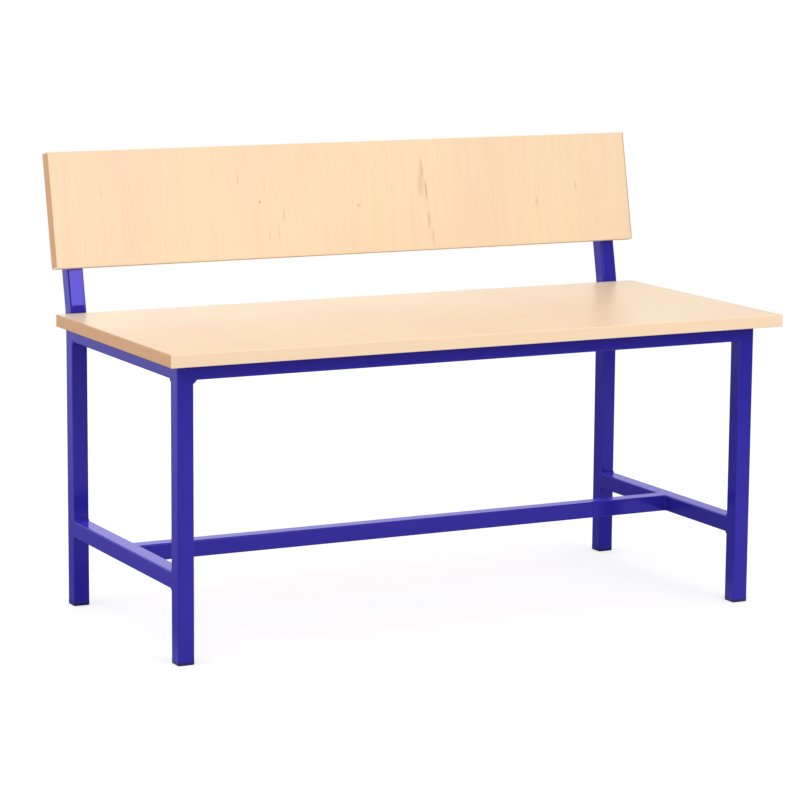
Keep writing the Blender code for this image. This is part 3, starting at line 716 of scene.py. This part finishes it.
# Screws
# Zinc-plated pan head screws, 5 mm thick, cold-headed with a cross recess. Short ones hold the
# seat, their heads inside the rails behind the access holes, and long ones hold the backrest from
# behind.
SCREW_HEAD = 0.00475
SCREW_HEAD_HEIGHT = 0.0028
HEAD_RIM = 0.0007
DOME_FACETS = 8
SCREW_FACETS = 48
RECESS_SPAN = 0.0050
RECESS_WIDTH = 0.0011
RECESS_DEPTH = 0.0018
RECESS_TAPER = 0.55              # size of the recess at its bottom against its mouth
MERGE_DISTANCE = 0.00001


def recess_tool():
    """Cross-shaped cutter that narrows towards its bottom."""
    cross = []
    for arm in range(4):
        turn = Matrix.Rotation(arm * math.pi / 2, 2)
        corners = (
            (RECESS_SPAN, -RECESS_WIDTH), (RECESS_SPAN, RECESS_WIDTH), (RECESS_WIDTH, RECESS_WIDTH))
        cross += [turn @ Vector(corner) / 2 for corner in corners]
    mouth = -SCREW_HEAD_HEIGHT - RECESS_DEPTH / 4
    bottom = -SCREW_HEAD_HEIGHT + RECESS_DEPTH
    rows = [
        [(x, y, mouth) for x, y in cross],
        [(x * RECESS_TAPER, y * RECESS_TAPER, bottom) for x, y in cross],
    ]
    return add_piece("recess", loft("recess", rows))


def screw_mesh(kind):
    """Turned pan head screw with its head's bearing face at Z = 0 and its tip up."""
    length = SCREW_LENGTHS[kind]
    profile = [(0, length), (SHANK, length - SCREW_POINT), (SHANK, 0), (SCREW_HEAD, 0)]
    for step in range(DOME_FACETS):
        angle = step / DOME_FACETS * math.pi / 2
        dome = (SCREW_HEAD_HEIGHT - HEAD_RIM) * math.sin(angle)
        profile.append((SCREW_HEAD * math.cos(angle), -HEAD_RIM - dome))
    profile.append((0, -SCREW_HEAD_HEIGHT))
    outline = bpy.data.meshes.new(f"{kind}_screw")
    edges = [(index, index + 1) for index in range(len(profile) - 1)]
    outline.from_pydata([(radius, 0, height) for radius, height in profile], edges, [])
    screw = add_piece(f"{kind}_screw", outline)
    turned = screw.modifiers.new("turned", "SCREW")
    turned.steps = SCREW_FACETS
    turned.render_steps = SCREW_FACETS
    turned.use_merge_vertices = True
    turned.merge_threshold = MERGE_DISTANCE
    apply_modifiers(screw)
    combine(screw, [recess_tool()], "DIFFERENCE")
    merge_slivers(screw.data)
    shade_flat_and_round(screw)
    mesh = screw.data
    bpy.data.objects.remove(screw)
    return mesh


# Bright zinc plating: a thin, slightly bluish film with soft cloudy spangle.
SPANGLE = 0.0012

zinc = bpy.data.materials.new("bright_zinc_plating")
zinc.use_nodes = True
tree = zinc.node_tree
shader = tree.nodes["Principled BSDF"]
place = add_node(tree, "ShaderNodeTexCoord").outputs["Object"]
spangle = add_node(tree, "ShaderNodeTexNoise", {"Vector": place, "Scale": 1 / SPANGLE, "Detail": 3})
tint = add_node(tree, "ShaderNodeMix", {
    0: spangle.outputs["Fac"], 6: linear_rgb("aeb4bc"), 7: linear_rgb("c8ccd2")}, data_type="RGBA")
gloss = add_node(tree, "ShaderNodeMapRange", {
    "Value": spangle.outputs["Fac"], "To Min": 0.22, "To Max": 0.42})
tree.links.new(tint.outputs[2], shader.inputs["Base Color"])
tree.links.new(gloss.outputs["Result"], shader.inputs["Roughness"])
shader.inputs["Metallic"].default_value = 1

for kind, nodes in (("seat", seat_screws), ("backrest", backrest_screws)):
    mesh = screw_mesh(kind)
    mesh.materials.clear()
    mesh.materials.append(zinc)
    for node in nodes:
        piece = add_piece(f"{node}_turned", mesh, screw_place(node))
        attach(piece, "root")
        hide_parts(node)


# Studio
# White seamless paper under and behind the bench, soft lights in front, on the left, overhead and
# behind, and an even white surround.
FLOOR_SIZE = 30
FLOOR_LIFT = 0.54                # what the paper gives to the camera beside the light it reflects
FADE_START = 1.5                 # from the bench's middle, where the paper turns into the surround
FADE_END = 3.2
# Brightness of the paper in reflections, painted into its glow: a painted pool of light before the
# bench, painted shade under it, and full white far to the left.
POOL_PLACE = (0.3, -1.0, 0)
POOL_START = 0.9
POOL_END = 1.7
PAINTED_POOL_BRIGHT = 0.85
POOL_DIM = 0.30
UNDER_FRONT = -0.25
UNDER_BACK = -0.05
UNDER_PAINTED_SHADE = 0.25
LEFT_START = -0.6
LEFT_END = -1.8
LEFT_BRIGHT = 1.05
# Brightness of the surround in reflections, by the way they look.
HEADING_LEFT = 0.33
HEADING_RIGHT = 0.60
HEADING_FRONT = -0.6
HEADING_BEHIND = 0.3
BEHIND_LEFT = 1.40
BEHIND_RIGHT = 0.85
FRONT_BRIGHT = 0.30
# Brightness of the surround as a light.
SKY_LOW = 0.90
SKY_HIGH = 0.78
CAMERA_PLACE = (-2.14225, -4.17378, 1.10366)
CAMERA_YAW = math.radians(-26.98)
CAMERA_DOWN = math.radians(9.55)
CAMERA_ROLL = math.radians(0.44)
PICTURE_PIXELS = 800
FOCAL_PIXELS = 3129.16
SENSOR_MM = 36

floor_mesh = bpy.data.meshes.new("paper_floor")
half = FLOOR_SIZE / 2
corners = [(-half, -half, 0), (half, -half, 0), (half, half, 0), (-half, half, 0)]
floor_mesh.from_pydata(corners, [], [(0, 1, 2, 3)])
floor = add_piece("paper_floor", floor_mesh)
paper = bpy.data.materials.new("white_paper")
paper.use_nodes = True
tree = paper.node_tree
output = tree.nodes["Material Output"]
tree.nodes.remove(tree.nodes["Principled BSDF"])


def add_seen_share(tree):
    """1 for rays that show the surround: to the camera, in reflections, through something clear."""
    rays = add_node(tree, "ShaderNodeLightPath").outputs
    share = add_node(tree, "ShaderNodeMath", {
        0: rays["Is Glossy Ray"], 1: rays["Is Transmission Ray"]}, operation="MAXIMUM")
    return add_node(tree, "ShaderNodeMath", {
        0: rays["Is Camera Ray"], 1: share.outputs["Value"]}, operation="MAXIMUM").outputs["Value"]


rays = add_node(tree, "ShaderNodeLightPath").outputs
place = add_node(tree, "ShaderNodeTexCoord").outputs["Object"]
matt = add_node(tree, "ShaderNodeBsdfDiffuse", {"Color": linear_rgb("c8c8ca")})
lift = add_node(
    tree, "ShaderNodeMath", {0: rays["Is Camera Ray"], 1: FLOOR_LIFT}, operation="MULTIPLY")
glow = add_node(tree, "ShaderNodeEmission", {"Strength": lift.outputs["Value"]})
near = add_node(tree, "ShaderNodeAddShader", {0: matt.outputs["BSDF"], 1: glow.outputs["Emission"]})
distance = add_node(tree, "ShaderNodeVectorMath", {0: place}, operation="LENGTH")
ring = add_node(tree, "ShaderNodeMapRange", {
    "Value": distance.outputs["Value"], "From Min": FADE_START, "From Max": FADE_END},
    interpolation_type="SMOOTHSTEP")
spread = add_node(tree, "ShaderNodeSeparateXYZ", {"Vector": place})
# Painted pool of light before the bench and painted shade under it, seen in reflections only.
pool_distance = add_node(
    tree, "ShaderNodeVectorMath", {0: place, 1: POOL_PLACE}, operation="DISTANCE")
pool = add_node(tree, "ShaderNodeMapRange", {
    "Value": pool_distance.outputs["Value"], "From Min": POOL_START, "From Max": POOL_END,
    "To Min": PAINTED_POOL_BRIGHT, "To Max": POOL_DIM})
before = add_node(tree, "ShaderNodeMapRange", {
    "Value": spread.outputs["Y"], "From Min": UNDER_BACK, "From Max": UNDER_FRONT,
    "To Min": UNDER_PAINTED_SHADE, "To Max": pool.outputs["Result"]})
reflected = add_node(tree, "ShaderNodeMapRange", {
    "Value": spread.outputs["X"], "From Min": LEFT_START, "From Max": LEFT_END,
    "To Min": before.outputs["Result"], "To Max": LEFT_BRIGHT})
fade = add_node(tree, "ShaderNodeMix", {
    0: rays["Is Camera Ray"], 2: add_seen_share(tree), 3: ring.outputs["Result"]},
    data_type="FLOAT")
strength = add_node(tree, "ShaderNodeMix", {
    0: rays["Is Camera Ray"], 2: reflected.outputs["Result"], 3: 1.0}, data_type="FLOAT")
surface = add_node(tree, "ShaderNodeEmission", {"Strength": strength.outputs[0]})
both = add_node(tree, "ShaderNodeMixShader", {
    0: fade.outputs[0], 1: near.outputs["Shader"], 2: surface.outputs["Emission"]})
tree.links.new(both.outputs["Shader"], output.inputs["Surface"])
floor_mesh.materials.append(paper)

world = bpy.data.worlds.new("white_surround")
bpy.context.scene.world = world
world.use_nodes = True
tree = world.node_tree
background = tree.nodes["Background"]
heading = add_node(tree, "ShaderNodeTexCoord").outputs["Generated"]
heading = add_node(tree, "ShaderNodeSeparateXYZ", {"Vector": heading})
behind = add_node(tree, "ShaderNodeMapRange", {
    "Value": heading.outputs["X"], "From Min": HEADING_LEFT, "From Max": HEADING_RIGHT,
    "To Min": BEHIND_LEFT, "To Max": BEHIND_RIGHT})
surround = add_node(tree, "ShaderNodeMapRange", {
    "Value": heading.outputs["Y"], "From Min": HEADING_FRONT, "From Max": HEADING_BEHIND,
    "To Min": FRONT_BRIGHT, "To Max": behind.outputs["Result"]})
sky = add_node(tree, "ShaderNodeMapRange", {
    "Value": heading.outputs["Z"], "To Min": SKY_LOW, "To Max": SKY_HIGH})
rays = add_node(tree, "ShaderNodeLightPath").outputs
seen = add_node(tree, "ShaderNodeMix", {
    0: rays["Is Camera Ray"], 2: surround.outputs["Result"], 3: 1.0}, data_type="FLOAT")
strength = add_node(tree, "ShaderNodeMix", {
    0: add_seen_share(tree), 2: sky.outputs["Result"], 3: seen.outputs[0]}, data_type="FLOAT")
tree.links.new(strength.outputs[0], background.inputs["Strength"])
background.inputs["Color"].default_value = (1, 1, 1, 1)


def add_soft_light(name, place, aim, width, height, power, reflected=True):
    """Area light that the camera doesn't see."""
    data = bpy.data.lights.new(name, "AREA")
    data.shape = "RECTANGLE"
    data.size = width
    data.size_y = height
    data.energy = power
    light = bpy.data.objects.new(name, data)
    bpy.context.scene.collection.objects.link(light)
    light.location = place
    light.rotation_euler = (Vector(aim) - Vector(place)).to_track_quat("-Z", "Y").to_euler()
    light.visible_camera = False
    light.visible_glossy = reflected


add_soft_light(
    "front_softbox", place=(1.0, -3.1, 1.9), aim=(0, 0, 0.45), width=2.2, height=2.0, power=24)
add_soft_light(
    "front_spot", place=(0.9, -3.1, 1.64), aim=(0, 0, 0.45), width=0.9, height=0.8, power=9.5)
add_soft_light(
    "left_softbox", place=(-3.4, 0.1, 0.8), aim=(0, 0, 0.40), width=2.4, height=1.5, power=16,
    reflected=False)
add_soft_light(
    "overhead_softbox", place=(-1.3, -0.6, 2.6), aim=(-0.1, 0, 0.45), width=2.4, height=1.8,
    power=8.5)
add_soft_light(
    "back_softbox", place=(0.6, 3.1, 1.5), aim=(0, 0, 0.45), width=2.2, height=1.6, power=12,
    reflected=False)

camera_data = bpy.data.cameras.new("camera")
camera_data.sensor_width = SENSOR_MM
camera_data.lens = FOCAL_PIXELS / PICTURE_PIXELS * SENSOR_MM
camera = bpy.data.objects.new("camera", camera_data)
bpy.context.scene.collection.objects.link(camera)
turn = Matrix.Rotation(CAMERA_YAW, 4, "Z") @ Matrix.Rotation(math.pi / 2 - CAMERA_DOWN, 4, "X")
camera.matrix_world = Matrix.Translation(CAMERA_PLACE) @ turn @ Matrix.Rotation(CAMERA_ROLL, 4, "Z")
camera_data.clip_end = 100
bpy.context.scene.camera = camera
bpy.context.scene.view_settings.view_transform = "Standard"

bpy.context.view_layer.update()
